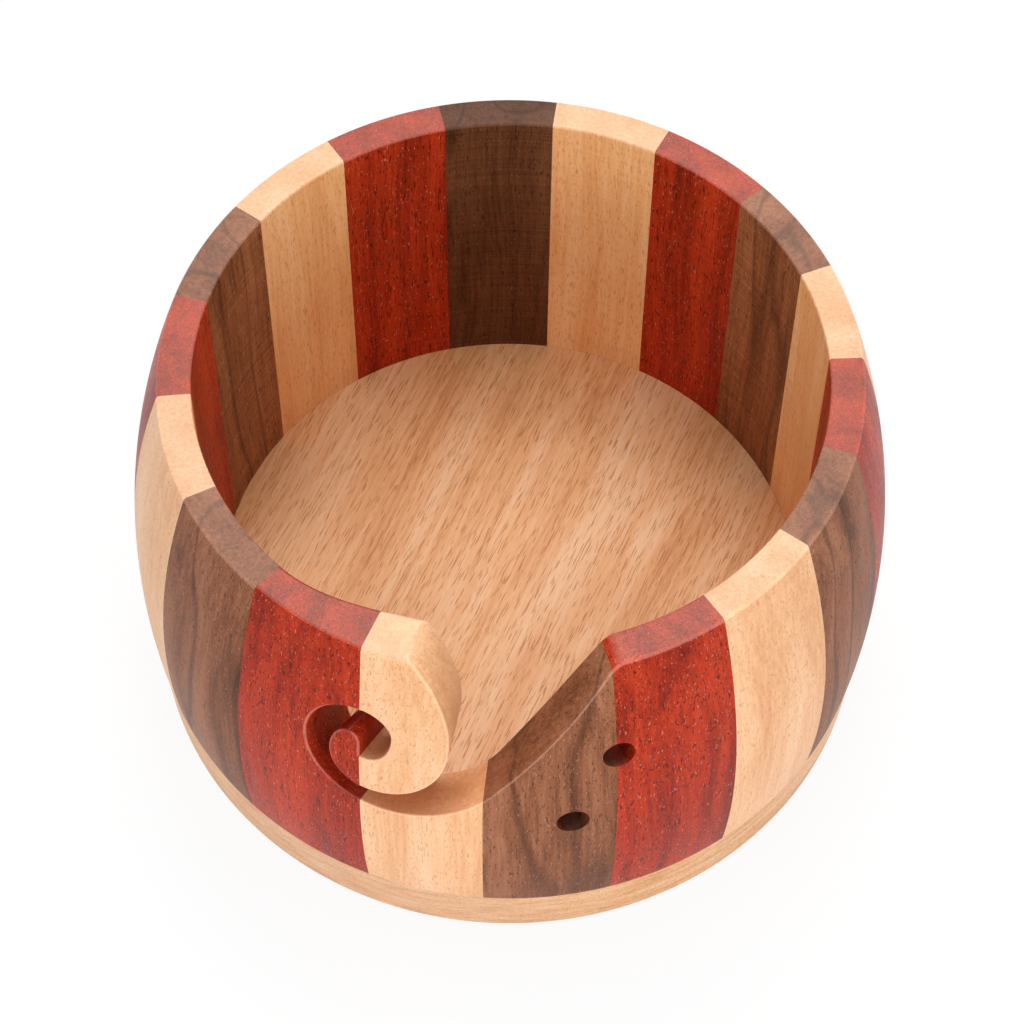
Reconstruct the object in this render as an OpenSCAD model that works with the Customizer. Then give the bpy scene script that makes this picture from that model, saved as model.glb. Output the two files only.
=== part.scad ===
// Turned yarn bowl. A ring of upright staves in three woods is glued up on a round beech base,
// turned outside to a barrel and bored straight inside. A curled slot in the front lets the yarn
// run out, and two slanting holes beside it park a pair of knitting needles.

/* [Bowl] */
// Outside diameter across the rim
rim_d = 136; // [126:0.5:150]
// How far the widest part of the barrel stands out past the rim
belly_swell = 9; // [5:0.25:13]
// Height of the widest part above the table
belly_z = 35; // [28:0.5:44]
// Height of the whole bowl
bowl_h = 90.5; // [86:0.5:100]
// Thickness of the wall at the rim, from which the bore runs straight down
rim_wall = 6.5; // [5:0.25:9]
// Rounding of the two edges of the rim
rim_ease = 0.9; // [0.4:0.1:1.8]

/* [Base] */
// Thickness of the base disc, whose top is the floor of the bowl
base_t = 14.5; // [9:0.5:18]
// How far the foot of the base stands inside the widest part of the barrel
foot_inset = 2; // [1.5:0.25:5]
// Rounding of the bottom edge of the base
foot_ease = 1.6; // [0.5:0.1:3]

/* [Staves] */
// Direction of the first glue joint, at the back, turned anticlockwise from +X
first_joint = 84.5; // [80:0.5:88]
// How much the staves drift from an even share of the ring, as they do in a hand-glued one
joint_drift = 2.4; // [0:0.1:3]
// Side of the ring where the staves run closest together
drift_dir = 142; // [132:1:152]

/* [Hook and curl tip] */
// Direction of the middle of the curl, turned anticlockwise from +X
curl_dir = -110; // [-111.5:0.25:-109]
// Reach of the hook to the right of the middle of the curl, along the belly
hook_reach = 15.5; // [13:0.25:17]
// Depth of that furthest point of the hook below the rim
hook_reach_drop = 19.7; // [17:0.25:23]
// Radius of the hook's front edge above that point
hook_front_r = 26.7; // [24:0.25:34]
// Rounding of the hook's corner at the rim
hook_corner_r = 5; // [3:0.25:7]
// Depth of the bottom of the hook below the rim
hook_low_drop = 38; // [35:0.25:40]
// Reach of the curl's tip to the left of the middle of the curl
tip_reach = 9.1; // [8:0.1:10.5]
// Depth of that furthest point of the tip below the rim
tip_reach_drop = 28.7; // [27:0.1:30]
// Depth of the top of the tip below the rim
tip_top_drop = 21.8; // [21:0.1:23]
// Place of the top of the tip, to the left of the middle of the curl
tip_top_left = 5; // [4.8:0.1:5.6]

/* [Yarn slot] */
// Width of the slot under the hook and round the curl
slot_gap = 5.3; // [4.6:0.1:6.5]
// Height of the slot over the top of the tip
eye_gap = 6.9; // [6:0.1:8]
// Reach of the blind end of the slot to the right of the middle of the curl
eye_reach = 3.8; // [3:0.1:5]
// Depth of that point of the blind end below the rim
eye_reach_drop = 20.7; // [20:0.1:22]
// Depth of the bottom of the blind end below the rim
eye_low_drop = 28.3; // [27.5:0.1:29.5]
// Radius of the sill where it sweeps up from the curl to the ramp
sill_r = 26.5; // [22:0.5:30]
// Slope of the ramp that the yarn is slipped down
ramp_angle = 52; // [48:0.5:58]
// Rounding of the ramp's corner at the rim
ramp_corner_r = 6; // [3:0.25:9]
// How steeply the slot falls towards the inside, low in the wall
cut_fall = 33; // [20:0.5:38]
// Depth below the rim from which it falls so steeply, being level at the rim
fall_fade = 9; // [6:0.5:14]

/* [Needle holes] */
// Diameter of the holes
needle_d = 6.4; // [4:0.1:8]
// How steeply the holes fall towards the inside
needle_fall = 28; // [5:0.5:34]
// Direction of the upper hole, which straddles a glue joint
upper_hole_dir = -73.7; // [-75:0.1:-72]
// Depth of the upper hole's mouth below the rim
upper_hole_drop = 23.6; // [21:0.1:27]
// Direction of the lower hole
lower_hole_dir = -80.5; // [-84:0.1:-79]
// Depth of the lower hole's mouth below the rim
lower_hole_drop = 42.4; // [40:0.1:46]

/* [Hidden] */

// Fineness of the revolved faces and of the long arc of the barrel
$fn = 120;
arc_fn = 720;
// Steps in each quarter of the curl and in each rounded corner
curl_steps = 8;
corner_steps = 4;
// Spare length by which a cutter passes the faces that it cuts
spare = 3;

rim_r = rim_d / 2;
belly_r = rim_r + belly_swell;
bore_r = rim_r - rim_wall;
foot_r = belly_r - foot_inset;

// Radius of the one arc that the outside of the barrel follows, from its widest part to the rim
barrel_rise = bowl_h - belly_z;
barrel_arc_r = (barrel_rise ^ 2 + belly_swell ^ 2) / (2 * belly_swell);

// Outside radius of the barrel at height z
function barrel_r(z) = belly_r - barrel_arc_r + sqrt(barrel_arc_r ^ 2 - (z - belly_z) ^ 2);

// The staves run clockwise seen from above, in threes: beech, padauk and walnut
stave_count = 18;
stave_step = 360 / stave_count;
front_beech = 9;
function even_joint(k) = first_joint - k * stave_step;
function joint_dir(k) = even_joint(k) + joint_drift * sin(even_joint(k) - drift_dir);

beech = [0.93, 0.76, 0.56];
padauk = [0.64, 0.22, 0.16];
walnut = [0.44, 0.32, 0.26];

// Half-plane outline of a rounded corner's waste: the wedge from centre c between the directions
// a and b, less the circle of radius r. Taken off a square corner it leaves the rounding.
module corner_waste(c, a, b, r) {
    difference() {
        polygon([c, c + 4 * r * a, c + 4 * r * (a + b), c + 4 * r * b]);
        translate(c) circle(r);
    }
}

// Section of the wall: straight bore inside, the barrel's arc outside, the rim flat and eased
module wall_section() {
    arc_centre = [belly_r - barrel_arc_r, belly_z];
    ease_z = bowl_h - rim_ease;
    outer_ease = [arc_centre.x + sqrt((barrel_arc_r - rim_ease) ^ 2 - (ease_z - belly_z) ^ 2), ease_z];
    outward = (outer_ease - arc_centre) / norm(outer_ease - arc_centre);
    difference() {
        intersection() {
            translate([bore_r, base_t]) square([belly_r - bore_r + spare, bowl_h - base_t]);
            translate(arc_centre) circle(barrel_arc_r, $fn = arc_fn);
        }
        corner_waste(outer_ease, [0, 1], outward, rim_ease);
        corner_waste([bore_r + rim_ease, ease_z], [0, 1], [-1, 0], rim_ease);
    }
}

// Section of the base: flat floor and underside, its edge leaning out to meet the staves
module base_section() {
    seam_r = barrel_r(base_t);
    lean = (seam_r - foot_r) / base_t;
    slant = sqrt(1 + lean ^ 2);
    ease = [foot_r + lean * foot_ease - slant * foot_ease, foot_ease];
    difference() {
        polygon([[0, 0], [foot_r, 0], [seam_r, base_t], [0, base_t]]);
        corner_waste(ease, [0, -1], [1, -lean] / slant, foot_ease);
    }
}

// One stave of the ring, from glue joint k to the next one
module stave(k) {
    rotate([0, 0, joint_dir(k + 1)])
        rotate_extrude(angle = joint_dir(k) - joint_dir(k + 1)) wall_section();
}

// Outlines on the outside of the wall are lists of [s, z]: s runs to the right along the belly
// from the middle of the curl, and z up from the table.
function below_rim(drop) = bowl_h - drop;

// Quarter of an ellipse from p to q, leaving p level when level is true, or else upright
function quarter(p, q, level) = [
    for (i = [0 : curl_steps - 1])
        let (t = 90 * i / curl_steps)
            level
                ? [p.x + (q.x - p.x) * sin(t), q.y + (p.y - q.y) * cos(t)]
                : [q.x + (p.x - q.x) * cos(t), p.y + (q.y - p.y) * sin(t)]
];

// Points of an arc about c, from direction a to direction b
function arc(c, r, a, b, steps) = [
    for (i = [0 : steps]) c + r * [cos(a + (b - a) * i / steps), sin(a + (b - a) * i / steps)]
];

tip_top = [-tip_top_left, below_rim(tip_top_drop)];
tip_left = [-tip_reach, below_rim(tip_reach_drop)];
hook_low = [0, below_rim(hook_low_drop)];
hook_right = [hook_reach, below_rim(hook_reach_drop)];
eye_low = [-tip_top_left + eye_reach, below_rim(eye_low_drop)];
eye_right = [eye_reach, below_rim(eye_reach_drop)];
loop_top = [-tip_top_left + eye_reach / 2, tip_top.y + eye_gap];
loop_left = [tip_left.x - slot_gap, tip_left.y + slot_gap / 4];
loop_low = [hook_low.x + slot_gap / 2, hook_low.y - slot_gap];

// The rounded corners cross the plane of the rim at a small angle, this share of the way up
crossing = 0.97;

// The hook's front edge is an arc that ends in a smaller one at the rim
front_centre = hook_right - [hook_front_r, 0];
corner_z = bowl_h - crossing * hook_corner_r;
corner_turn = asin((corner_z - front_centre.y) / (hook_front_r - hook_corner_r));
corner_centre = front_centre + (hook_front_r - hook_corner_r) * [cos(corner_turn), sin(corner_turn)];

// The sill's arc runs into the ramp, and the ramp into a rounded corner at the rim
sill_centre = loop_low + [0, sill_r];
ramp_foot = sill_centre + sill_r * [sin(ramp_angle), -cos(ramp_angle)];
ramp_corner_z = bowl_h - crossing * ramp_corner_r;
ramp_corner = [
    ramp_foot.x + (ramp_corner_z - ramp_foot.y) / tan(ramp_angle) + ramp_corner_r / sin(ramp_angle),
    ramp_corner_z
];
ramp_top = ramp_corner + ramp_corner_r * [-sin(ramp_angle), cos(ramp_angle)];

// Height above the rim at which the cutters end
sky = bowl_h + 2 * spare;

// Edge of the slot from the left of the curl down, along the sill and up the ramp to the rim
sill_edge = concat(
    quarter(loop_left, loop_low, false),
    arc(sill_centre, sill_r, -90, ramp_angle - 90, curl_steps),
    [for (i = [1 : curl_steps - 1]) ramp_foot + (ramp_top - ramp_foot) * i / curl_steps],
    arc(ramp_corner, ramp_corner_r, 90 + ramp_angle, 90, corner_steps)
);

// Front edge of the hook, from its lowest point up to the rim
hook_front = concat(
    quarter(hook_low, hook_right, true),
    [for (i = [0 : curl_steps - 1]) let (a = corner_turn * i / curl_steps)
        front_centre + hook_front_r * [cos(a), sin(a)]],
    arc(corner_centre, hook_corner_r, corner_turn, 90, corner_steps),
    [[corner_centre.x, sky]]
);

// Left edges of the curl's tip and of the loop round it, from the lowest point up to the top
tip_edge = concat(quarter(hook_low, tip_left, true), quarter(tip_left, tip_top, false), [tip_top]);
loop_edge = concat(quarter(loop_low, loop_left, true), quarter(loop_left, loop_top, false), [loop_top]);

// Right edge of the slot's blind end, from its top down
eye_edge = concat(quarter(loop_top, eye_right, true), quarter(eye_right, eye_low, false), [eye_low]);

// Points level with those of an edge, on an upright line
function level_with(edge, s) = [for (p = edge) [s, p.y]];

// Points straight above those of an edge, at the height of the cutters' ends
function above(edge) = [for (p = edge) [p.x, sky]];

// Point of an outline carried through the wall to radius r. The cut falls inwards, less and less
// towards the rim.
function on_wall(p, r) =
    let (
        dir = curl_dir + p.x / belly_r * 180 / PI,
        share = max(0, min(1, (bowl_h - p.y) / fall_fade)),
        fall = (barrel_r(min(p.y, bowl_h)) - r) * tan(cut_fall) * share
    )
    [r * cos(dir), r * sin(dir), p.y - fall];

// Solid swept through the wall by the strip between two edges that have as many points each. Seen
// from outside, edge b lies to the left of edge a as both run on.
module through_wall(edge_a, edge_b) {
    n = len(edge_a);
    inner = bore_r - 2 * spare;
    outer = belly_r + spare;
    // Rows of the strip, from edge a outside round to edge a inside
    rows = [
        [for (p = edge_a) on_wall(p, outer)],
        [for (p = edge_b) on_wall(p, outer)],
        [for (p = edge_b) on_wall(p, inner)],
        [for (p = edge_a) on_wall(p, inner)]
    ];
    polyhedron(
        points = [for (row = rows) each row],
        faces = concat(
            [for (side = [0 : 3], i = [0 : n - 2]) let (u = side * n + i, v = (side + 1) % 4 * n + i)
                [u, v, v + 1, u + 1]],
            [[3 * n, 2 * n, n, 0], [n - 1, 2 * n - 1, 3 * n - 1, 4 * n - 1]]
        )
    );
}

// What is open above the sill and the ramp
module sill_opening() {
    through_wall(sill_edge, above(sill_edge));
}

// Bore of a needle hole, from its mouth on the outside down through the wall
module needle_bore(dir, drop) {
    mouth_z = below_rim(drop);
    translate([barrel_r(mouth_z) * cos(dir), barrel_r(mouth_z) * sin(dir), mouth_z])
        rotate([0, 0, dir])
            rotate([0, 90 - needle_fall, 0])
                cylinder(h = 3 * (belly_r - bore_r) + 6 * spare, d = needle_d, center = true);
}

module needle_bores() {
    needle_bore(upper_hole_dir, upper_hole_drop);
    needle_bore(lower_hole_dir, lower_hole_drop);
}

module base_disc() {
    color(beech) rotate_extrude() base_section();
}

module beech_stave(k) {
    color(beech) stave(k);
}

module padauk_stave(k) {
    color(padauk) stave(k);
}

module walnut_stave(k) {
    color(walnut) stave(k);
}

// Lower part of the front beech stave, which the slot cuts in two
module slot_sill() {
    color(beech) difference() {
        stave(front_beech);
        sill_opening();
    }
}

// Upper part of the front beech stave, the hook that the yarn is slipped under
module slot_hook() {
    past_joint = tip_left.x - spare;
    under_left = quarter(hook_low, tip_left, true);
    left_edge = [
        for (i = [1 : len(hook_front) - 1])
            i < curl_steps ? under_left[i] : [past_joint, hook_front[i].y]
    ];
    right_edge = [for (i = [1 : len(hook_front) - 1]) hook_front[i]];
    color(beech) difference() {
        intersection() {
            stave(front_beech);
            through_wall(right_edge, left_edge);
        }
        through_wall(level_with(eye_edge, past_joint), eye_edge);
    }
}

// Tip of the curl, the piece of padauk that the slot leaves glued to the hook
module curl_tip() {
    color(padauk) intersection() {
        stave(front_beech + 1);
        through_wall(level_with(tip_edge, spare), tip_edge);
    }
}

// Stave to the left of the hook, with the loop of the slot in it
module looped_stave() {
    color(padauk) difference() {
        stave(front_beech + 1);
        through_wall(level_with(loop_edge, loop_low.x + spare), loop_edge);
    }
}

// Staves to the right of the hook, cut by the ramp and drilled for needles
module ramp_stave() {
    color(walnut) difference() {
        difference() {
            stave(front_beech - 1);
            needle_bores();
        }
        sill_opening();
    }
}

module corner_stave() {
    color(padauk) difference() {
        stave(front_beech - 2);
        sill_opening();
        needle_bore(upper_hole_dir, upper_hole_drop);
    }
}

base_disc();
for (n = [1, 2, 3, 5, 6])
    beech_stave(3 * n - 3);
for (n = [1, 2, 5, 6])
    padauk_stave(3 * n - 2);
for (n = [1, 2, 4, 5, 6])
    walnut_stave(3 * n - 1);
corner_stave();  // padauk_stave_3
ramp_stave();  // walnut_stave_3
slot_sill();
slot_hook();
looped_stave();  // padauk_stave_4
curl_tip();
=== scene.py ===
"""Looks of a turned yarn bowl: eighteen glued staves of beech, padauk and walnut on a beech base.

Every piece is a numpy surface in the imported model's frame, in metres, and replaces its node there.
The wall is drawn on a chart: s runs to the right along the belly from the middle of the curl, and z
runs up from the table, both in millimetres. One map carries chart and depth into space.

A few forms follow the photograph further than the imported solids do: the wall swells inwards at the
hook, the glue line left of the hook bows, the cut faces fall less near the rim, and edges are eased.
"""

import logging
import math
from dataclasses import dataclass, field
from enum import Enum

import bmesh
import bpy
import numpy as np
from mathutils import Matrix, Vector


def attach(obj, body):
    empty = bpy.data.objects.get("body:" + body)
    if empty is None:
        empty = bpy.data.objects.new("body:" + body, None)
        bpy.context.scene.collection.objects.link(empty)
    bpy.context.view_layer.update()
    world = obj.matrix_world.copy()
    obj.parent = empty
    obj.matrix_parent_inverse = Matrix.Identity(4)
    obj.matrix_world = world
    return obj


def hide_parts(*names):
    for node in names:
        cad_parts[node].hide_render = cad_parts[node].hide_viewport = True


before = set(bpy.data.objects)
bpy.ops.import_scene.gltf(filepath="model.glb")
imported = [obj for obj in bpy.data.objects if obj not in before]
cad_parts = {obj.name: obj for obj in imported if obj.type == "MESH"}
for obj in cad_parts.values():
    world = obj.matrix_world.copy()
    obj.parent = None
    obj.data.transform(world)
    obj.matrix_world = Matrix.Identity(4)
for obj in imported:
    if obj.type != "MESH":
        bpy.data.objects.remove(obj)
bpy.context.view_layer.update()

MM = 0.001
# Stave k stands between joints k and k + 1, counted clockwise from the back
CORNER_STAVE, RAMP_STAVE, SILL_STAVE, LOOPED_STAVE = 7, 8, 9, 10
CUT_STAVES = (CORNER_STAVE, RAMP_STAVE, SILL_STAVE)
HOOK_JOINT = 10
# Sizes of the figure that every wood has, in millimetres across, through and along the plank
DRIFT_SIZE = (30.0, 30.0, 60.0)
VEIN_SIZE = (13.0, 16.0, 180.0)
# A scraper's rings are really about 0.15 mm apart, which is too fine to show, so they are coarser
RING_SIZE = (60.0, 60.0, 0.4)
# Nearly all of a noise lies between these values
NOISE_LOW, NOISE_HIGH = 0.3, 0.7
log = logging.getLogger("yarn_bowl")


class Wood(Enum):
    """The three woods of the bowl, by the name of their slot in the record."""

    BEECH = "beech"
    PADAUK = "padauk"
    WALNUT = "walnut"


def linear(hex_colour: str) -> tuple[float, float, float, float]:
    """Turns an sRGB hex colour into the linear colour that a shader takes.

    Args:
        hex_colour: Colour such as "#C08040".

    Returns:
        Red, green, blue and an alpha of 1.
    """
    channels = [int(hex_colour[i : i + 2], 16) / 255 for i in (1, 3, 5)]
    red, green, blue = (c / 12.92 if c <= 0.04045 else ((c + 0.055) / 1.055) ** 2.4 for c in channels)
    return red, green, blue, 1.0


def add_node(
    tree: bpy.types.NodeTree, kind: str, settings: dict | None = None, inputs: dict | None = None
) -> bpy.types.Node:
    """Adds a node with its settings, and fills its inputs with values or links.

    Args:
        tree: Node tree that gets the node.
        kind: Type name of the node.
        settings: Attributes of the node, by name.
        inputs: Values or output sockets, by the input's name or number.

    Returns:
        The new node.
    """
    node = tree.nodes.new(kind)
    for name, value in (settings or {}).items():
        setattr(node, name, value)
    for key, value in (inputs or {}).items():
        if isinstance(value, bpy.types.NodeSocket):
            tree.links.new(value, node.inputs[key])
        else:
            node.inputs[key].default_value = value
    return node


@dataclass(frozen=True)
class WoodFinish:
    """One wood, sawn, turned, sanded and oiled to a satin. Lengths are in millimetres.

    Attributes:
        name: Common name of the wood and its finish.
        deep: Colour of the darkest bands.
        body: Colour of most of the wood.
        pale: Colour of the palest bands.
        pore: Colour inside the open pores and ray flecks.
        band: Size of a growth band across, through and along the plank.
        streak: Size of a fine streak across, through and along the plank.
        dash: Size of a pore or fleck across, through and along the plank.
        dash_share: Noise value above which a pore shows, so that less shows the higher it is.
        dash_strength: How far a pore's colour covers the wood.
        wander: How far the bands wander sideways.
        contrast: Half-width of the noise values that run from deep to pale.
        vein_strength: How far the dark lines that wander along the plank cover the wood.
        roughness: Roughness of the oiled surface.
        dust_and_glare: Pale colour of sanding residue in end grain, also used for painted glare on the rims,
            a painted glint in pores and a painted highlight on eased edges.
        shine: Strength of its reflections, where 0.5 is a clear lacquer's.
        ring_depth: How much the scraper's rings lighten and darken the bore.
        painted_bounce_lift: How much lighter the bore is painted than the outside, as painted bounce light
            from inside the bowl.
        painted_bounce_warmth: How much less blue the bore is painted, as painted warm bounce light between
            the wood's walls.
        ior: Index of refraction of the oiled surface.
        streak_share: Share of the streaks in the figure, against the bands.
        speck_edge: Width of a speck's soft edge, as a noise value.
        vein_width: Half-width of a vein, as a noise value.
        painted_glint_share: Noise value above which a painted glint, a pale highlight, shows in a pore.
        painted_glint_strength: How far that painted glint covers the wood.
        dust_and_glare_cover: How far the pale colour covers end grain and eased edges: sanding residue, plus
            painted glare on the rims and a painted highlight on the edges.
        edge_highlight_lift: How much lighter the eased edges are painted, as a painted highlight.
        roughness_spread: How far the roughness runs below and above its middle along the streaks.
        relief: Depth of the pores, in metres.
        relief_strength: Strength of the relief.
        ring_relief: Height of the scraper's rings, as a share of the pores' depth.
    """

    name: str
    deep: str
    body: str
    pale: str
    pore: str
    band: tuple[float, float, float]
    streak: tuple[float, float, float]
    dash: tuple[float, float, float]
    dash_share: float
    dash_strength: float
    wander: float
    contrast: float
    vein_strength: float
    roughness: float
    dust_and_glare: str = "#E3C3B0"
    shine: float = 0.2
    ring_depth: float = 0.04
    painted_bounce_lift: float = 0.07
    painted_bounce_warmth: float = 0.18
    ior: float = 1.47
    streak_share: float = 0.42
    speck_edge: float = 0.07
    vein_width: float = 0.03
    painted_glint_share: float = 0.66
    painted_glint_strength: float = 0.35
    dust_and_glare_cover: float = 0.2
    edge_highlight_lift: float = 0.22
    roughness_spread: tuple[float, float] = (0.05, 0.07)
    relief: float = 0.00012
    relief_strength: float = 0.35
    ring_relief: float = 0.6

    def noise(
        self, tree: bpy.types.NodeTree, point: bpy.types.NodeSocket, size: tuple, detail: float
    ) -> bpy.types.Node:
        """Adds noise of scale 1 on the plank's coordinates divided by a feature's size.

        Args:
            tree: Node tree of the material.
            point: Place in the plank, in millimetres.
            size: Size of a feature across, through and along the plank.
            detail: How many finer layers the noise has.

        Returns:
            The noise node.
        """
        divide = add_node(tree, "ShaderNodeVectorMath", {"operation": "DIVIDE"}, {0: point, 1: size})
        inputs = {"Vector": divide.outputs[0], "Scale": 1.0, "Detail": detail}
        return add_node(tree, "ShaderNodeTexNoise", None, inputs)

    def specks(
        self, tree: bpy.types.NodeTree, point: bpy.types.NodeSocket, size: tuple, share: float, most: float
    ) -> bpy.types.NodeSocket:
        """Adds a mask of separate specks.

        Args:
            tree: Node tree of the material.
            point: Place in the plank, in millimetres.
            size: Size of a speck across, through and along the plank.
            share: Noise value above which a speck shows.
            most: Value of the mask in the middle of a speck.

        Returns:
            The mask, which is 0 between the specks.
        """
        value = self.noise(tree, point, size, 1.0).outputs["Fac"]
        edges = {"Value": value, "From Min": share, "From Max": share + self.speck_edge, "To Max": most}
        return add_node(tree, "ShaderNodeMapRange", {"interpolation_type": "SMOOTHSTEP"}, edges).outputs[0]

    def veins(self, tree: bpy.types.NodeTree, point: bpy.types.NodeSocket) -> bpy.types.NodeSocket:
        """Adds a mask of thin lines that wander along the plank, where a broad noise passes its middle.

        Args:
            tree: Node tree of the material.
            point: Place in the plank, in millimetres.

        Returns:
            The mask, which is 0 between the lines.
        """
        value = self.noise(tree, point, VEIN_SIZE, 0.6).outputs["Fac"]
        offset = add_node(tree, "ShaderNodeMath", {"operation": "SUBTRACT"}, {0: value, 1: 0.5}).outputs[0]
        distance = add_node(tree, "ShaderNodeMath", {"operation": "ABSOLUTE"}, {0: offset}).outputs[0]
        edges = {"Value": distance, "From Max": self.vein_width, "To Min": self.vein_strength, "To Max": 0.0}
        return add_node(tree, "ShaderNodeMapRange", {"interpolation_type": "SMOOTHSTEP"}, edges).outputs[0]

    def mixed(
        self, tree: bpy.types.NodeTree, colour: bpy.types.NodeSocket, other: str, share: bpy.types.NodeSocket
    ) -> bpy.types.NodeSocket:
        """Mixes a share of another colour, given as sRGB hex, into a colour."""
        inputs = {"Factor": share, 6: colour, 7: linear(other)}
        return add_node(tree, "ShaderNodeMix", {"data_type": "RGBA"}, inputs).outputs[2]

    def build(self) -> bpy.types.Material:
        """Makes the material.

        The attribute "plank" gives each point's place across, through and along its plank, so the
        figure runs through the wood as in a real board: long streaks on its sides, dots on its ends.
        The attributes "bore", "end_grain" and "tone", and a mask of the eased edges, say where the wood is
        scraped and painted with bounce light, where its grain ends, where the edges get a painted highlight,
        and how light the plank is.

        Returns:
            The new material.
        """
        material = bpy.data.materials.new(self.name)
        material.use_nodes = True
        tree = material.node_tree
        shader = tree.nodes["Principled BSDF"]
        shader.inputs["IOR"].default_value = self.ior
        shader.inputs["Specular IOR Level"].default_value = self.shine
        plank = add_node(tree, "ShaderNodeAttribute", {"attribute_name": "plank"}).outputs["Vector"]
        bore, end_grain, painted_edge_highlight, tone = (
            add_node(tree, "ShaderNodeAttribute", {"attribute_name": name}).outputs["Fac"]
            for name in ("bore", "end_grain", "painted_edge_highlight", "tone")
        )

        drift = self.noise(tree, plank, DRIFT_SIZE, 1.0).outputs["Color"]
        centred = add_node(
            tree, "ShaderNodeVectorMath", {"operation": "SUBTRACT"}, {0: drift, 1: (0.5, 0.5, 0.5)}
        ).outputs[0]
        reach = (self.wander, self.wander, 0.0)
        moved = add_node(
            tree, "ShaderNodeVectorMath", {"operation": "MULTIPLY_ADD"}, {0: centred, 1: reach, 2: plank}
        ).outputs[0]
        band = self.noise(tree, moved, self.band, 2.0).outputs["Fac"]
        streak = self.noise(tree, moved, self.streak, 3.0).outputs["Fac"]
        inputs = {"Factor": self.streak_share, 2: band, 3: streak}
        figure = add_node(tree, "ShaderNodeMix", {"data_type": "FLOAT"}, inputs).outputs[0]
        shades = add_node(tree, "ShaderNodeValToRGB", None, {"Fac": figure})
        ramp = shades.color_ramp
        ramp.elements[0].position = 0.5 - self.contrast
        ramp.elements[0].color = linear(self.deep)
        ramp.elements[1].position = 0.5 + self.contrast
        ramp.elements[1].color = linear(self.pale)
        ramp.elements.new(0.5).color = linear(self.body)

        veined = self.mixed(tree, shades.outputs["Color"], self.pore, self.veins(tree, moved))
        pores = self.specks(tree, plank, self.dash, self.dash_share, 1.0)
        cover = add_node(
            tree, "ShaderNodeMath", {"operation": "MULTIPLY"}, {0: pores, 1: self.dash_strength}
        ).outputs[0]
        pored = self.mixed(tree, veined, self.pore, cover)
        # Pale dashes along the pores are a painted glint: highlights drawn into the colour
        half_dash = (self.dash[0], self.dash[1], self.dash[2] / 2)
        painted_glints = self.specks(tree, plank, half_dash, self.painted_glint_share, self.painted_glint_strength)
        with_painted_glints = self.mixed(tree, pored, self.dust_and_glare, painted_glints)
        # End grain, such as the rims, and eased edges turn towards the pale colour: partly sanding residue,
        # partly painted glare on the rims and a painted highlight along the edges
        dust_and_glare_mask = add_node(tree, "ShaderNodeMath", {"operation": "MAXIMUM"}, {0: end_grain, 1: painted_edge_highlight}).outputs[0]
        dust_and_glare_cover = add_node(
            tree, "ShaderNodeMath", {"operation": "MULTIPLY"}, {0: dust_and_glare_mask, 1: self.dust_and_glare_cover}
        ).outputs[0]
        grained = self.mixed(tree, with_painted_glints, self.dust_and_glare, dust_and_glare_cover)

        # The scraper's rings lighten and darken the bore, which is also painted lighter and less blue as
        # painted bounce light from inside the bowl
        rings = self.noise(tree, plank, RING_SIZE, 1.0).outputs["Fac"]
        lift = add_node(
            tree,
            "ShaderNodeMapRange",
            None,
            {
                "Value": rings,
                "From Min": NOISE_LOW,
                "From Max": NOISE_HIGH,
                "To Min": self.painted_bounce_lift + self.ring_depth,
                "To Max": self.painted_bounce_lift - self.ring_depth,
            },
        ).outputs[0]
        shade = add_node(
            tree, "ShaderNodeMath", {"operation": "MULTIPLY_ADD"}, {0: lift, 1: bore, 2: 1.0}
        ).outputs[0]
        toned = add_node(tree, "ShaderNodeMath", {"operation": "MULTIPLY"}, {0: shade, 1: tone}).outputs[0]
        # Eased edges are painted lighter: a painted highlight along them
        edge_lift = add_node(
            tree, "ShaderNodeMath", {"operation": "MULTIPLY_ADD"}, {0: painted_edge_highlight, 1: self.edge_highlight_lift, 2: 1.0}
        ).outputs[0]
        lightness = add_node(
            tree, "ShaderNodeMath", {"operation": "MULTIPLY"}, {0: toned, 1: edge_lift}
        ).outputs[0]
        lit = add_node(
            tree, "ShaderNodeVectorMath", {"operation": "SCALE"}, {0: grained, "Scale": lightness}
        ).outputs[0]
        painted_bounce_tint = add_node(
            tree,
            "ShaderNodeVectorMath",
            {"operation": "MULTIPLY_ADD"},
            {0: bore, 1: (0.0, 0.0, -self.painted_bounce_warmth), 2: (1.0, 1.0, 1.0)},
        ).outputs[0]
        coloured = add_node(
            tree, "ShaderNodeVectorMath", {"operation": "MULTIPLY"}, {0: lit, 1: painted_bounce_tint}
        ).outputs[0]
        tree.links.new(coloured, shader.inputs["Base Color"])

        # Pores sink, streaks stand up a little, and the bore keeps its rings
        height = add_node(
            tree, "ShaderNodeMath", {"operation": "MULTIPLY_ADD"}, {0: pores, 1: -1.0, 2: streak}
        ).outputs[0]
        scraped = add_node(tree, "ShaderNodeMath", {"operation": "MULTIPLY"}, {0: rings, 1: bore}).outputs[0]
        inputs = {0: scraped, 1: self.ring_relief, 2: height}
        ringed = add_node(tree, "ShaderNodeMath", {"operation": "MULTIPLY_ADD"}, inputs).outputs[0]
        inputs = {"Height": ringed, "Strength": self.relief_strength, "Distance": self.relief}
        bump = add_node(tree, "ShaderNodeBump", None, inputs).outputs[0]
        tree.links.new(bump, shader.inputs["Normal"])
        below, above = self.roughness_spread
        gloss = add_node(
            tree,
            "ShaderNodeMapRange",
            None,
            {
                "Value": streak,
                "From Min": NOISE_LOW,
                "From Max": NOISE_HIGH,
                "To Min": self.roughness - below,
                "To Max": self.roughness + above,
            },
        ).outputs[0]
        tree.links.new(gloss, shader.inputs["Roughness"])
        return material


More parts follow.
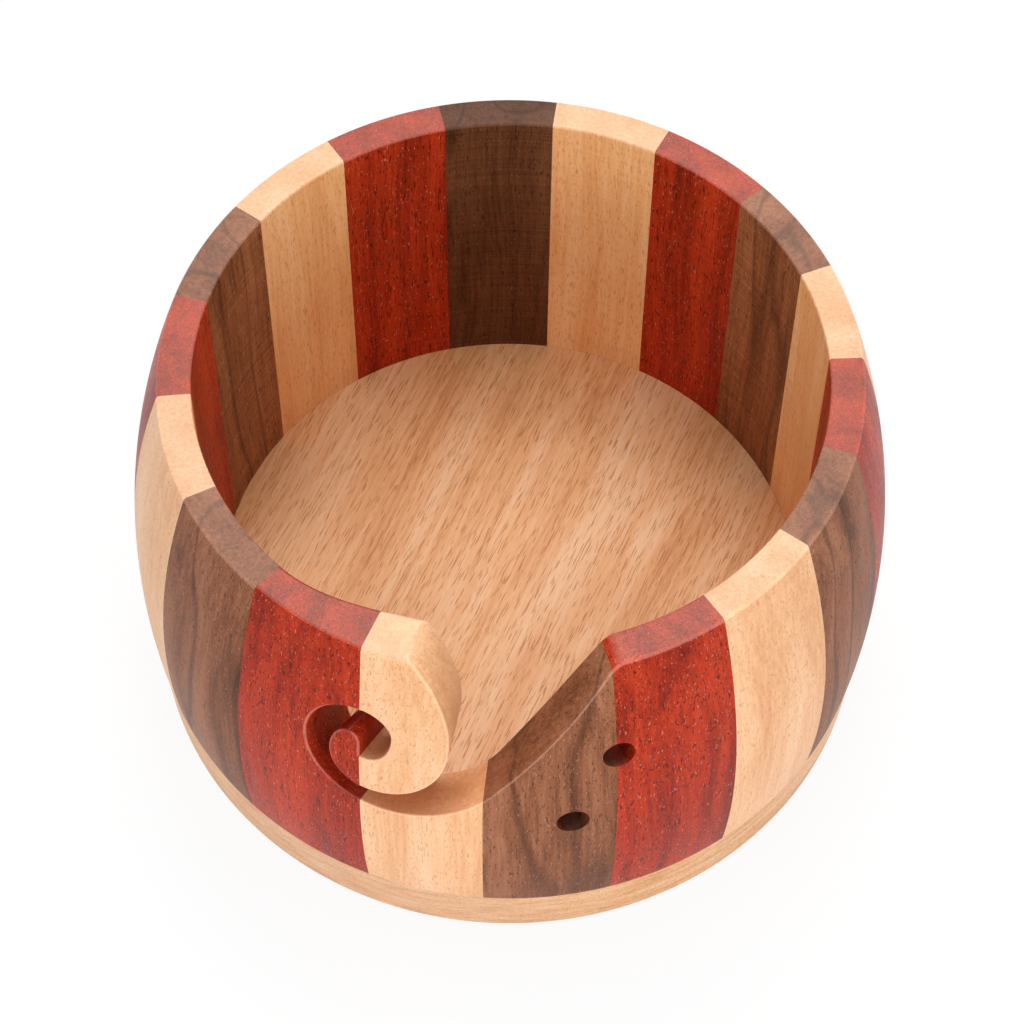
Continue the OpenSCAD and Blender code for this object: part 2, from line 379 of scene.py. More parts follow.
# Steamed beech, oiled: a warm straw wood whose short dark ray flecks all run along the grain
BEECH_FINISH = WoodFinish(
    name="steamed beech, turned and oiled",
    deep="#E0A06E", body="#F0B888", pale="#F7CBA3", pore="#C4824C",
    band=(9.0, 12.0, 110.0), streak=(0.8, 1.0, 26.0), dash=(0.26, 0.26, 2.0),
    dash_share=0.6, dash_strength=0.55, wander=5.0, contrast=0.17, vein_strength=0.0, roughness=0.38,
)
# The same beech as a flat-sawn board: its growth layers lie flat and show as lines round its edge
BOARD_FINISH = WoodFinish(
    name="steamed beech board, turned and oiled",
    deep="#D69660", body="#EBB37F", pale="#F5C99D", pore="#B47040",
    band=(9.0, 1.5, 190.0), streak=(0.9, 0.6, 40.0), dash=(0.27, 0.27, 4.2),
    dash_share=0.59, dash_strength=0.66, wander=4.0, contrast=0.15, vein_strength=0.0, roughness=0.42,
)
# Padauk, oiled: orange red with darker ribbons and open pores that show as near-black dashes
PADAUK_FINISH = WoodFinish(
    name="padauk, turned and oiled",
    deep="#7E1D0C", body="#AC3016", pale="#C63F1E", pore="#4E1108",
    band=(5.0, 7.0, 160.0), streak=(0.7, 0.9, 26.0), dash=(0.32, 0.32, 2.4),
    dash_share=0.59, dash_strength=0.75, wander=6.0, contrast=0.17, vein_strength=0.2, roughness=0.36,
    dust_and_glare="#DCB0A3", shine=0.08, ring_depth=0.09, painted_bounce_lift=0.02,
)
# Walnut, oiled: warm grey brown with a dark wandering figure and fine pores
WALNUT_FINISH = WoodFinish(
    name="black walnut, turned and oiled",
    deep="#5F3622", body="#8D573B", pale="#A66E50", pore="#3A2016",
    band=(7.0, 9.0, 90.0), streak=(0.8, 1.0, 22.0), dash=(0.3, 0.3, 2.0),
    dash_share=0.61, dash_strength=0.6, wander=10.0, contrast=0.17, vein_strength=0.5, roughness=0.38,
    dust_and_glare="#C6A99B", shine=0.06, ring_depth=0.2,
)


@dataclass(frozen=True)
class Barrel:
    """Sizes of the turned bowl, in millimetres.

    Attributes:
        rim_r: Outside radius at the rim.
        belly_swell: How much wider the widest part is.
        belly_z: Height of the widest part.
        height: Height of the rim.
        rim_wall: Thickness of the wall at the rim.
        rim_ease: Rounding of the rim's edges.
        base_t: Thickness of the base.
        foot_inset: How much narrower the underside is than the widest part.
        foot_ease: Rounding of the foot.
    """

    rim_r: float = 68.0
    belly_swell: float = 9.0
    belly_z: float = 35.0
    height: float = 90.5
    rim_wall: float = 6.5
    rim_ease: float = 0.9
    base_t: float = 14.5
    foot_inset: float = 2.0
    foot_ease: float = 1.6

    @property
    def belly_r(self) -> float:
        """Radius at the widest part."""
        return self.rim_r + self.belly_swell

    @property
    def bore_r(self) -> float:
        """Radius of the straight bore."""
        return self.rim_r - self.rim_wall

    @property
    def foot_r(self) -> float:
        """Radius of the underside."""
        return self.belly_r - self.foot_inset

    @property
    def arc_r(self) -> float:
        """Radius of the one arc that the outside follows."""
        rise = self.height - self.belly_z
        return (rise**2 + self.belly_swell**2) / (2 * self.belly_swell)

    def radius(self, z: np.ndarray) -> np.ndarray:
        """Outside radius at heights z."""
        return self.belly_r - self.arc_r + np.sqrt(self.arc_r**2 - (z - self.belly_z) ** 2)


@dataclass(frozen=True)
class StaveRing:
    """Directions of the glue joints, in degrees, anticlockwise from +X seen from above.

    Attributes:
        count: How many staves the ring has.
        first_joint: Direction of joint 0, before the drift.
        drift: How far the joints drift from an even ring.
        drift_dir: Direction that the joints drift away from.
    """

    count: int = 18
    first_joint: float = 84.5
    drift: float = 2.4
    drift_dir: float = 142.0

    def joint(self, k: int) -> float:
        """Direction of joint k: an even share of the ring plus a sine that drifts round it."""
        even = self.first_joint - k * 360 / self.count
        return even + self.drift * math.sin(math.radians(even - self.drift_dir))


def quarter(p: tuple, q: tuple, level: bool, count: int) -> np.ndarray:
    """Points on the quarter of an ellipse from p to q, both included.

    Args:
        p: First point (s, z).
        q: Last point (s, z).
        level: Whether the curve leaves p level, or else upright.
        count: How many points.

    Returns:
        Array of (s, z) rows: one coordinate follows a sine and the other a cosine.
    """
    t = np.linspace(0, math.pi / 2, count)
    if level:
        return np.stack([p[0] + (q[0] - p[0]) * np.sin(t), q[1] + (p[1] - q[1]) * np.cos(t)], 1)
    return np.stack([q[0] + (p[0] - q[0]) * np.cos(t), p[1] + (q[1] - p[1]) * np.sin(t)], 1)


def arc(centre: tuple, radius: float, start: float, end: float, count: int) -> np.ndarray:
    """Points on a circle's arc between two directions in degrees."""
    t = np.radians(np.linspace(start, end, count))
    return np.stack([centre[0] + radius * np.cos(t), centre[1] + radius * np.sin(t)], 1)


def resampled(path: np.ndarray, count: int) -> np.ndarray:
    """Points evenly spaced along a path, by linear interpolation on its running length.

    Args:
        path: Array of (s, z) rows.
        count: How many points.

    Returns:
        Array of (s, z) rows, from the path's first point to its last.
    """
    steps = np.hypot(*np.diff(path, axis=0).T)
    run = np.concatenate([[0.0], np.cumsum(steps)])
    even = np.linspace(0, run[-1], count)
    return np.stack([np.interp(even, run, path[:, 0]), np.interp(even, run, path[:, 1])], 1)


@dataclass(frozen=True)
class YarnSlot:
    """Outline of the curled slot on the chart, in millimetres and degrees.

    A reach runs sideways from the middle of the curl, and a drop runs down from the rim.

    Attributes:
        barrel: Sizes of the bowl.
        curl_dir: Direction of the middle of the curl.
        hook_reach: Reach of the hook's rightmost point.
        hook_reach_drop: Drop of that point.
        hook_front_r: Radius of the hook's front.
        hook_corner_r: Radius of the hook's top corner.
        hook_low_drop: Drop of the hook's lowest point.
        tip_reach: Reach of the tip's leftmost point, to the left.
        tip_reach_drop: Drop of that point.
        tip_top_drop: Drop of the tip's top.
        tip_top_left: Reach of the tip's top, to the left.
        tip_slope: Height over which the tip's right side rounds off at its top.
        gap: Width of the slot.
        eye_gap: Width of the slot over the tip.
        eye_reach: Reach of the rightmost point of the slot's blind end.
        eye_reach_drop: Drop of that point.
        eye_low_drop: Drop of the lowest point of the blind end.
        sill_r: Radius of the sill's arc.
        ramp_angle: Slope of the ramp.
        ramp_corner_r: Radius of the ramp's top corner.
        crossing: Share of a corner's radius at which it crosses the rim.
        cut_fall: How far the cut faces fall towards the bore.
        fall_fade: Drop over which that fall grows from nothing at the rim.
        ramp_fade: Drop over which the ramp's own fall grows to its full share.
        shoulder_rise: How far above the blind end the hook's lines start to fan round.
        hook_fall_share: Share of the fall on the hook's front, above its rightmost point.
        hook_swell: How far the wall swells inwards at the hook's front.
        hook_swell_depth: Drop at which the swelling ends.
        seam_shift: How far the glue line left of the hook bows to the right.
        seam_shift_depth: Drop over which it does most of that.
        edge_ease: Rounding of the cut edges.
    """

    barrel: Barrel
    curl_dir: float = -110.0
    hook_reach: float = 15.5
    hook_reach_drop: float = 19.7
    hook_front_r: float = 26.7
    hook_corner_r: float = 5.0
    hook_low_drop: float = 38.0
    tip_reach: float = 9.1
    tip_reach_drop: float = 28.7
    tip_top_drop: float = 21.8
    tip_top_left: float = 5.0
    tip_slope: float = 3.0
    gap: float = 5.3
    eye_gap: float = 6.9
    eye_reach: float = 3.8
    eye_reach_drop: float = 20.7
    eye_low_drop: float = 28.3
    sill_r: float = 26.5
    ramp_angle: float = 52.0
    ramp_corner_r: float = 6.0
    crossing: float = 0.97
    cut_fall: float = 33.0
    fall_fade: float = 9.0
    ramp_fade: float = 32.0
    shoulder_rise: float = 4.5
    hook_fall_share: float = 0.4
    hook_swell: float = 3.5
    hook_swell_depth: float = 40.0
    seam_shift: float = 2.4
    seam_shift_depth: float = 22.0
    edge_ease: float = 0.55

    def below_rim(self, drop: float) -> float:
        """Height of a point that lies a given depth below the rim."""
        return self.barrel.height - drop

    @property
    def tip_top(self) -> tuple:
        """Top of the curl's tip."""
        return -self.tip_top_left, self.below_rim(self.tip_top_drop)

    @property
    def tip_left(self) -> tuple:
        """Leftmost point of the tip."""
        return -self.tip_reach, self.below_rim(self.tip_reach_drop)

    @property
    def hook_low(self) -> tuple:
        """Lowest point of the hook."""
        return 0.0, self.below_rim(self.hook_low_drop)

    @property
    def hook_right(self) -> tuple:
        """Rightmost point of the hook."""
        return self.hook_reach, self.below_rim(self.hook_reach_drop)

    @property
    def eye_low(self) -> tuple:
        """Lowest point of the slot's blind end."""
        return self.eye_reach - self.tip_top_left, self.below_rim(self.eye_low_drop)

    @property
    def eye_right(self) -> tuple:
        """Rightmost point of the slot's blind end."""
        return self.eye_reach, self.below_rim(self.eye_reach_drop)

    @property
    def loop_top(self) -> tuple:
        """Top of the slot over the tip."""
        return self.eye_reach / 2 - self.tip_top_left, self.tip_top[1] + self.eye_gap

    @property
    def loop_left(self) -> tuple:
        """Leftmost point of the slot."""
        return self.tip_left[0] - self.gap, self.tip_left[1] + self.gap / 4

    @property
    def loop_low(self) -> tuple:
        """Lowest point of the sill."""
        return self.gap / 2, self.hook_low[1] - self.gap

    def sill_height(self, s: np.ndarray) -> np.ndarray:
        """Height of the wall's top edge to the right of the curl.

        The edge is a quarter ellipse, then the sill's arc, the straight ramp, the ramp's rounded
        corner and the level rim, one after the other.

        Args:
            s: Places along the chart, in millimetres.

        Returns:
            Height of the edge at each place.
        """
        left, low = self.loop_left, self.loop_low
        turn = math.radians(self.ramp_angle)
        foot = low[0] + self.sill_r * math.sin(turn)
        foot_z = low[1] + self.sill_r * (1 - math.cos(turn))
        corner_z = self.barrel.height - self.crossing * self.ramp_corner_r
        corner_s = foot + (corner_z - foot_z) / math.tan(turn) + self.ramp_corner_r / math.sin(turn)
        ramp_end = corner_s - self.ramp_corner_r * math.sin(turn)
        share = np.clip((s - low[0]) / (left[0] - low[0]), 0, 1)
        loop = left[1] + (low[1] - left[1]) * np.sqrt(1 - share**2)
        sill = low[1] + self.sill_r - np.sqrt(np.maximum(self.sill_r**2 - (s - low[0]) ** 2, 0))
        ramp = foot_z + (s - foot) * math.tan(turn)
        corner = corner_z + np.sqrt(np.maximum(self.ramp_corner_r**2 - (s - corner_s) ** 2, 0))
        edge = np.where(s < low[0], loop, np.where(s < foot, sill, np.where(s < ramp_end, ramp, corner)))
        edge = np.where(s > corner_s, self.barrel.height, edge)
        return np.minimum(edge, self.barrel.height)

    def hook_front(self, count: int) -> np.ndarray:
        """Front edge of the hook: its corner's arc, its front's arc and a quarter ellipse below.

        Args:
            count: How many points each of the three has.

        Returns:
            Array of (s, z) rows from the rim down and round to the hook's lowest point.
        """
        centre = (self.hook_right[0] - self.hook_front_r, self.hook_right[1])
        inner_r = self.hook_front_r - self.hook_corner_r
        corner_z = self.barrel.height - self.crossing * self.hook_corner_r
        turn = math.asin((corner_z - centre[1]) / inner_r)
        corner = (centre[0] + inner_r * math.cos(turn), corner_z)
        at_rim = math.degrees(math.asin(self.crossing))
        return np.concatenate([
            arc(corner, self.hook_corner_r, at_rim, math.degrees(turn), count),
            arc(centre, self.hook_front_r, math.degrees(turn), 0, count)[1:],
            quarter(self.hook_right, self.hook_low, False, count)[1:],
        ])


@dataclass
class Stations:
    """Cross lines of a wall piece: each runs on the chart from an edge a to an edge b.

    Attributes:
        a: (s, z) of each line's start.
        b: (s, z) of each line's end.
        ease_a: Rounding of the piece along edge a, in millimetres.
        ease_b: Rounding of the piece along edge b.
        fall_a: Share of the slot's inward fall at edge a, 1 on a cut edge.
        fall_b: Share of the fall at edge b.
        inset: How far both faces stand back, which rounds a piece towards its first or last line.
    """

    a: np.ndarray
    b: np.ndarray
    ease_a: np.ndarray
    ease_b: np.ndarray
    fall_a: np.ndarray
    fall_b: np.ndarray
    inset: np.ndarray = field(default=None)

    def __post_init__(self) -> None:
        """Fills the inset with zeros where none is given."""
        if self.inset is None:
            self.inset = np.zeros(len(self.a))


@dataclass
class PlankFrame:
    """Where a piece sits in its plank, which sets how the figure runs through it.

    Attributes:
        across: Unit vector across the plank.
        through: Unit vector through its thickness.
        along: Unit vector along the grain.
        shift: Millimetres added to the three coordinates, so that no two planks look alike.
        tone: Lightness of the plank, where 1 is its wood's own.
    """

    across: np.ndarray
    through: np.ndarray
    along: np.ndarray
    shift: np.ndarray
    tone: float = 1.0

    def coordinates(self, points: np.ndarray) -> np.ndarray:
        """Place of each point across, through and along the plank, in millimetres."""
        return points @ np.stack([self.across, self.through, self.along], 1) + self.shift


@dataclass(frozen=True)
class Maker:
    """Turns arrays of points in millimetres into finished pieces.

    Attributes:
        finishes: Material of each wood's staves.
        board: Material of the base board.
        sharp_angle: Angle between two faces from which their edge is sharp.
        end_grain_from: Share of a face's normal along the plank from which its end grain shows.
        end_grain_full: Share from which it shows in full.
    """

    finishes: dict[Wood, bpy.types.Material]
    board: bpy.types.Material
    sharp_angle: float = math.radians(35)
    end_grain_from: float = 0.75
    end_grain_full: float = 0.95

    def mesh_object(self, name: str, points: np.ndarray, faces: list) -> bpy.types.Object:
        """Makes an object at the origin.

        Args:
            name: Name of the object and its mesh.
            points: Array of (x, y, z) rows, in millimetres.
            faces: Lists of corner numbers.

        Returns:
            The new object.
        """
        mesh = bpy.data.meshes.new(name)
        mesh.from_pydata((points * MM).tolist(), [], faces)
        mesh.update()
        made = bpy.data.objects.new(name, mesh)
        bpy.context.scene.collection.objects.link(made)
        return made

    def bore_out(self, piece: bpy.types.Object, cutter: bpy.types.Object) -> None:
        """Takes a cutter's solid out of a piece, in the piece's own mesh.

        Args:
            piece: Piece that is cut.
            cutter: Closed mesh object in the place of the hole.
        """
        cut = piece.modifiers.new("drill", "BOOLEAN")
        cut.operation = "DIFFERENCE"
        cut.solver = "EXACT"
        cut.object = cutter
        result = piece.evaluated_get(bpy.context.evaluated_depsgraph_get())
        mesh = bpy.data.meshes.new_from_object(result)
        piece.modifiers.clear()
        old = piece.data
        piece.data = mesh
        bpy.data.meshes.remove(old)
        mesh.name = piece.name

    def dress(
        self, piece: bpy.types.Object, wood: Wood, plank: PlankFrame, node: str, board: bool = False
    ) -> None:
        """Gives a piece its plank coordinates, material and shading, and puts it in its node's place.

        Args:
            piece: Finished piece.
            wood: Its wood.
            plank: Where it sits in its plank.
            node: Node of the frame that it stands for.
            board: Whether it is the flat base board.
        """
        mesh = piece.data
        points = np.empty(len(mesh.vertices) * 3, np.float32)
        mesh.vertices.foreach_get("co", points)
        points = points.reshape(-1, 3) / MM
        place = mesh.attributes.new("plank", "FLOAT_VECTOR", "POINT")
        place.data.foreach_set("vector", plank.coordinates(points).astype(np.float32).ravel())
        normals = np.empty(len(mesh.polygons) * 3, np.float32)
        mesh.polygons.foreach_get("normal", normals)
        facing = np.abs(normals.reshape(-1, 3) @ plank.along)
        shown = (facing - self.end_grain_from) / (self.end_grain_full - self.end_grain_from)
        end_grain = mesh.attributes.new("end_grain", "FLOAT", "FACE")
        end_grain.data.foreach_set("value", np.clip(shown, 0, 1).astype(np.float32))
        tone = mesh.attributes.new("tone", "FLOAT", "POINT")
        tone.data.foreach_set("value", np.full(len(points), plank.tone, np.float32))
        mesh.materials.clear()
        mesh.materials.append(self.board if board else self.finishes[wood])
        mesh.polygons.foreach_set("material_index", np.zeros(len(mesh.polygons), np.int32))
        mesh.shade_smooth()
        mesh.set_sharp_from_angle(angle=self.sharp_angle)
        even = piece.modifiers.new("even shading", "WEIGHTED_NORMAL")
        even.keep_sharp = True
        even.weight = 100
        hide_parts(node)
        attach(piece, "root")
        log.info("%s: %d faces of %s for %s", piece.name, len(mesh.polygons), wood.value, node)


@dataclass
class Wall:
    """The ring of staves, with the slot's hook, tip and sill, in millimetres and degrees.

    Attributes:
        barrel: Sizes of the bowl.
        ring: Directions of the glue joints.
        slot: Outline of the slot.
        maker: Maker of the pieces.
        glue_line: Rounding of the glued edges, which draws each joint as a thin line.
        merge: Distance within which points are merged.
        most_ease: Most of a short line that a rounding may take.
        face_points: Points on each face of a cross-section.
        depth_points: Points through the wall.
        ease_points: Points on a rounded edge.
        stave_lines: Cross lines of a whole stave.
        cut_lines: Cross lines of a stave with a cut top.
        curve_points: Points on each curve of the outline.
        loop_lines: Cross lines of the stave left of the hook along the loop.
        below_lines: Its cross lines below the loop.
        above_lines: Its cross lines above the loop.
        neck_lines: Cross lines of the hook from the rim down to the blind end.
        eye_lines: Cross lines of the hook round the blind end.
        tip_lines: Cross lines of the curl's tip.
        tip_clear: How far left of the glue line the tip's first line starts.
        needle_d: Diameter of the needle holes.
        needle_fall: How far the needle holes fall towards the bore.
        drill_reach: How far a drill runs either way from a hole's mouth.
        drill_sides: Sides of the drill.
        tones: Lightness of each stave, clockwise from the back.
        upper_hole: Direction of the upper hole's mouth, and its drop below the rim.
        lower_hole: The same for the lower hole.
    """

    barrel: Barrel
    ring: StaveRing
    slot: YarnSlot
    maker: Maker
    glue_line: float = 0.05
    merge: float = 0.004
    most_ease: float = 0.45
    face_points: int = 44
    depth_points: int = 9
    ease_points: int = 5
    stave_lines: int = 29
    cut_lines: int = 116
    curve_points: int = 60
    loop_lines: int = 110
    below_lines: int = 30
    above_lines: int = 14
    neck_lines: int = 22
    eye_lines: int = 90
    tip_lines: int = 80
    tip_clear: float = 0.15
    needle_d: float = 6.4
    needle_fall: float = 28.0
    drill_reach: float = 30.0
    drill_sides: int = 96
    tones: tuple[float, ...] = (
        1.0, 1.0, 1.04, 1.0, 1.0, 1.0, 1.0, 1.02, 1.03, 1.0, 1.0, 0.98, 0.93, 1.0, 1.0, 1.0, 0.95, 0.42,
    )
    upper_hole: tuple[float, float] = (-73.7, 23.6)
    lower_hole: tuple[float, float] = (-80.5, 42.4)

    def chart_s(self, direction: float) -> float:
        """Place along the chart of a direction in degrees."""
        return math.radians(direction - self.slot.curl_dir) * self.barrel.belly_r

    def seam(self, z: np.ndarray) -> np.ndarray:
        """Place along the chart of the joint left of the hook, which bows to the right as it goes down.

        The shift nears its full size as one less an exponential of the depth below the rim.

        Args:
            z: Heights on the outside.

        Returns:
            Places along the chart, in millimetres.
        """
        depth = self.barrel.height - z
        shift = self.slot.seam_shift * (1 - np.exp(-depth / self.slot.seam_shift_depth))
        return self.chart_s(self.ring.joint(HOOK_JOINT)) + shift

    def thickness(self, s: np.ndarray, z: np.ndarray) -> np.ndarray:
        """Thickness of the wall, which swells inwards near the rim towards the hook's front.

        The swelling is a smooth step along the chart times one less the square of the drop's share.

        Args:
            s: Places along the chart.
            z: Heights on the outside.

        Returns:
            Thicknesses, in millimetres.
        """
        left = self.chart_s(self.ring.joint(HOOK_JOINT + 1))
        share = np.clip((s - left) / (self.slot.hook_reach / 2 - left), 0, 1)
        share = np.where(s > self.slot.hook_reach + 1, 0.0, share**2 * (3 - 2 * share))
        rise = np.clip(1 - ((self.barrel.height - z) / self.slot.hook_swell_depth) ** 2, 0, 1)
        return self.barrel.radius(z) - self.barrel.bore_r + self.slot.hook_swell * share * rise

    def carried(self, s: np.ndarray, z: np.ndarray, depth: np.ndarray, fall: np.ndarray) -> np.ndarray:
        """Carries chart points through the wall.

        A point sits at its direction round the ring, depth below the outside. It falls by the depth
        times the tangent of the slot's fall, which fades out towards the rim.

        Args:
            s: Places along the chart.
            z: Heights on the outside.
            depth: Radial depths below the outside.
            fall: Shares of the slot's fall.

        Returns:
            Points in space, in millimetres.
        """
        turn = np.radians(self.slot.curl_dir) + s / self.barrel.belly_r
        radius = self.barrel.radius(z) - depth
        share = np.clip((self.barrel.height - z) / self.slot.fall_fade, 0, 1)
        drop = depth * math.tan(math.radians(self.slot.cut_fall)) * share * fall
        return np.stack([radius * np.cos(turn), radius * np.sin(turn), z - drop], -1)

    def section(self, lines: Stations) -> tuple[np.ndarray, np.ndarray]:
        """Closed cross-section of the wall on every line, as a rectangle with rounded corners.

        The section runs along the outer face from a to b, round edge b, back along the inner face and
        round edge a. Its height is the line's length and its depth the wall's.

        Args:
            lines: Cross lines of the piece.

        Returns:
            Shares of the line's length and shares of the wall's depth, one row per line.
        """
        length = np.hypot(*(lines.b - lines.a).T)[:, None]
        ease_a = np.minimum(lines.ease_a[:, None], self.most_ease * length)
        ease_b = np.minimum(lines.ease_b[:, None], self.most_ease * length)
        turn = np.linspace(0, math.pi / 2, self.ease_points)[None, :]
        middle = (lines.a + lines.b) / 2
        thick = self.thickness(middle[:, :1], middle[:, 1:])
        face = np.linspace(0, 1, self.face_points)[None, :]
        wall = np.linspace(0, 1, self.depth_points)[None, :]
        outer_t = ease_a + (length - ease_a - ease_b) * face
        corner_t = length - ease_b * (1 - np.sin(turn))
        corner_d = ease_b * (1 - np.cos(turn))
        start_t = ease_a * (1 - np.sin(turn))
        start_d = ease_a * (1 - np.cos(turn))
        side_b = ease_b + (thick - 2 * ease_b) * wall
        side_a = ease_a + (thick - 2 * ease_a) * wall
        # Outer face, edge b, its side, inner face, edge a, its side, each without its last point
        along = [
            outer_t, corner_t, length + 0 * side_b, corner_t[:, ::-1],
            outer_t[:, ::-1], start_t, 0 * side_a, start_t[:, ::-1],
        ]
        depth = [
            0 * outer_t, corner_d, side_b, thick - corner_d[:, ::-1],
            thick + 0 * outer_t, thick - start_d, side_a[:, ::-1], start_d[:, ::-1],
        ]
        along, depth = (np.concatenate([run[:, :-1] for run in runs], 1) for runs in (along, depth))
        return along / length, depth / thick

    def highlighted_edges(self, lines: Stations) -> np.ndarray:
        """Painted highlight at each point of each line's cross-section.

        Args:
            lines: Cross lines of the piece.

        Returns:
            1 on eased edges and 0 on faces and joints, one row per line.
        """
        face = np.zeros((len(lines.a), self.face_points - 1))
        side = np.zeros((len(lines.a), self.depth_points - 1))
        corner = np.append(0.0, np.ones(self.ease_points - 2))
        span = self.slot.edge_ease - self.glue_line
        at_a = np.clip((lines.ease_a - self.glue_line) / span, 0, 1)[:, None] * corner
        at_b = np.clip((lines.ease_b - self.glue_line) / span, 0, 1)[:, None] * corner
        return np.concatenate([face, at_b, side, at_b, face, at_a, side, at_a], 1)

    def scraped(self, lines: Stations) -> np.ndarray:
        """Marks of the scraped bore at each point of each line's cross-section.

        Args:
            lines: Cross lines of the piece.

        Returns:
            1 on the inner face below the rim's rounding and 0 elsewhere, one row per line.
        """
        before = self.face_points + self.depth_points + 2 * self.ease_points - 4
        column = np.arange(2 * before)
        inner = (column >= before) & (column < before + self.face_points)
        return (lines.inset == 0)[:, None] & inner

    def piece(self, name: str, lines: Stations) -> bpy.types.Object:
        """Carries the wall's cross-section along a piece's lines and closes both ends.

        Args:
            name: Name of the piece.
            lines: Cross lines of the piece.

        Returns:
            The new object, with its faces pointing outwards.
        """
        along, depth = self.section(lines)
        start = lines.a[:, None, :]
        chart = start + (lines.b[:, None, :] - start) * along[:, :, None]
        fall = lines.fall_a[:, None] * (1 - along) + lines.fall_b[:, None] * along
        thick = self.thickness(chart[:, :, 0], chart[:, :, 1])
        inset = lines.inset[:, None]
        points = self.carried(chart[:, :, 0], chart[:, :, 1], inset + (thick - 2 * inset) * depth, fall)
        rows, columns = along.shape
        number = np.arange(rows * columns).reshape(rows, columns)
        after = np.roll(number, -1, axis=1)
        quads = np.stack([number[:-1], after[:-1], after[1:], number[1:]], -1).reshape(-1, 4).tolist()
        faces = quads + [number[0, ::-1].tolist(), number[-1].tolist()]
        made = self.maker.mesh_object(name, points.reshape(-1, 3), faces)
        # The eased edges are marked for a painted highlight, the bore for its rings and painted bounce light
        for mark, values in (("painted_edge_highlight", self.highlighted_edges(lines)), ("bore", self.scraped(lines))):
            attribute = made.data.attributes.new(mark, "FLOAT", "POINT")
            attribute.data.foreach_set("value", values.astype(np.float32).ravel())
        self.tidy(made.data)
        return made

    def tidy(self, mesh: bpy.types.Mesh) -> None:
        """Merges doubles and points every face outwards.

        Args:
            mesh: Closed mesh, changed in place.
        """
        work = bmesh.new()
        work.from_mesh(mesh)
        bmesh.ops.remove_doubles(work, verts=work.verts, dist=self.merge * MM)
        bmesh.ops.recalc_face_normals(work, faces=work.faces)
        work.to_mesh(mesh)
        work.free()

    def topped(self, k: int) -> Stations:
        """Lines of a stave, upright from the base to its top edge.

        Args:
            k: Number of the stave, which stands between joints k and k + 1.

        Returns:
            Its cross lines, from left to right.
        """
        left, right = self.chart_s(self.ring.joint(k + 1)), self.chart_s(self.ring.joint(k))
        cut = k in CUT_STAVES
        count = self.cut_lines if cut else self.stave_lines
        low_left = top_left = left
        if k == SILL_STAVE:
            low_left, top_left = self.seam(self.barrel.base_t), self.seam(self.slot.loop_low[1])
        s = np.linspace(top_left, right, count)
        top = self.slot.sill_height(s) if cut else np.full(count, self.barrel.height)
        depth = self.barrel.height - top
        fall = np.clip(depth / self.slot.ramp_fade, 0, 1) / np.clip(depth / self.slot.fall_fade, 0.01, 1)
        near_rim = np.clip((top - self.barrel.height + self.slot.fall_fade) / self.slot.fall_fade, 0, 1)
        ease = self.slot.edge_ease + (self.barrel.rim_ease - self.slot.edge_ease) * near_rim**2
        return Stations(
            a=np.stack([np.linspace(low_left, right, count), np.full(count, self.barrel.base_t)], 1),
            b=np.stack([s, top], 1),
            ease_a=np.full(count, self.glue_line),
            ease_b=ease,
            fall_a=np.zeros(count),
            fall_b=fall if cut else np.zeros(count),
        )

    def rim_lines(self) -> tuple[np.ndarray, np.ndarray]:
        """Depths below the rim, and insets, of the lines that round a piece off at the rim."""
        turn = np.linspace(0, math.pi / 2, self.ease_points)
        return self.barrel.rim_ease * (1 - np.sin(turn)), self.barrel.rim_ease * (1 - np.cos(turn))

    def looped(self) -> Stations:
        """Level lines of the stave left of the hook, from its left joint to the loop or its right joint.

        Returns:
            Its cross lines, from the base up.
        """
        slot, top = self.slot, self.barrel.height
        left = self.chart_s(self.ring.joint(HOOK_JOINT + 1))
        lower = quarter(slot.loop_low, slot.loop_left, True, 4 * self.curve_points)
        upper = quarter(slot.loop_left, slot.loop_top, False, 4 * self.curve_points)
        loop = np.concatenate([lower, upper[1:]])
        loop = resampled(loop[loop[:, 0] < self.seam(loop[:, 1])], self.loop_lines)
        below = np.linspace(self.barrel.base_t, loop[0, 1], self.below_lines)[:-1]
        drops, insets = self.rim_lines()
        above = np.linspace(loop[-1, 1], top - self.barrel.rim_ease, self.above_lines)[1:-1]
        above = np.concatenate([above, top - drops])
        z = np.concatenate([below, loop[:, 1], above])
        free = np.concatenate([np.zeros(len(below)), np.ones(len(loop)), np.zeros(len(above))]) > 0
        count = len(z)
        floor = self.barrel.base_t
        return Stations(
            a=np.stack([np.full(count, left), z], 1),
            b=np.stack([np.concatenate([self.seam(below), loop[:, 0], self.seam(above)]), z], 1),
            ease_a=np.full(count, self.glue_line),
            ease_b=np.where(free, slot.edge_ease, self.glue_line),
            fall_a=np.zeros(count),
            fall_b=np.clip((z - floor) / (loop[0, 1] - floor), 0, 1),
            inset=np.concatenate([np.zeros(count - len(insets)), insets]),
        )

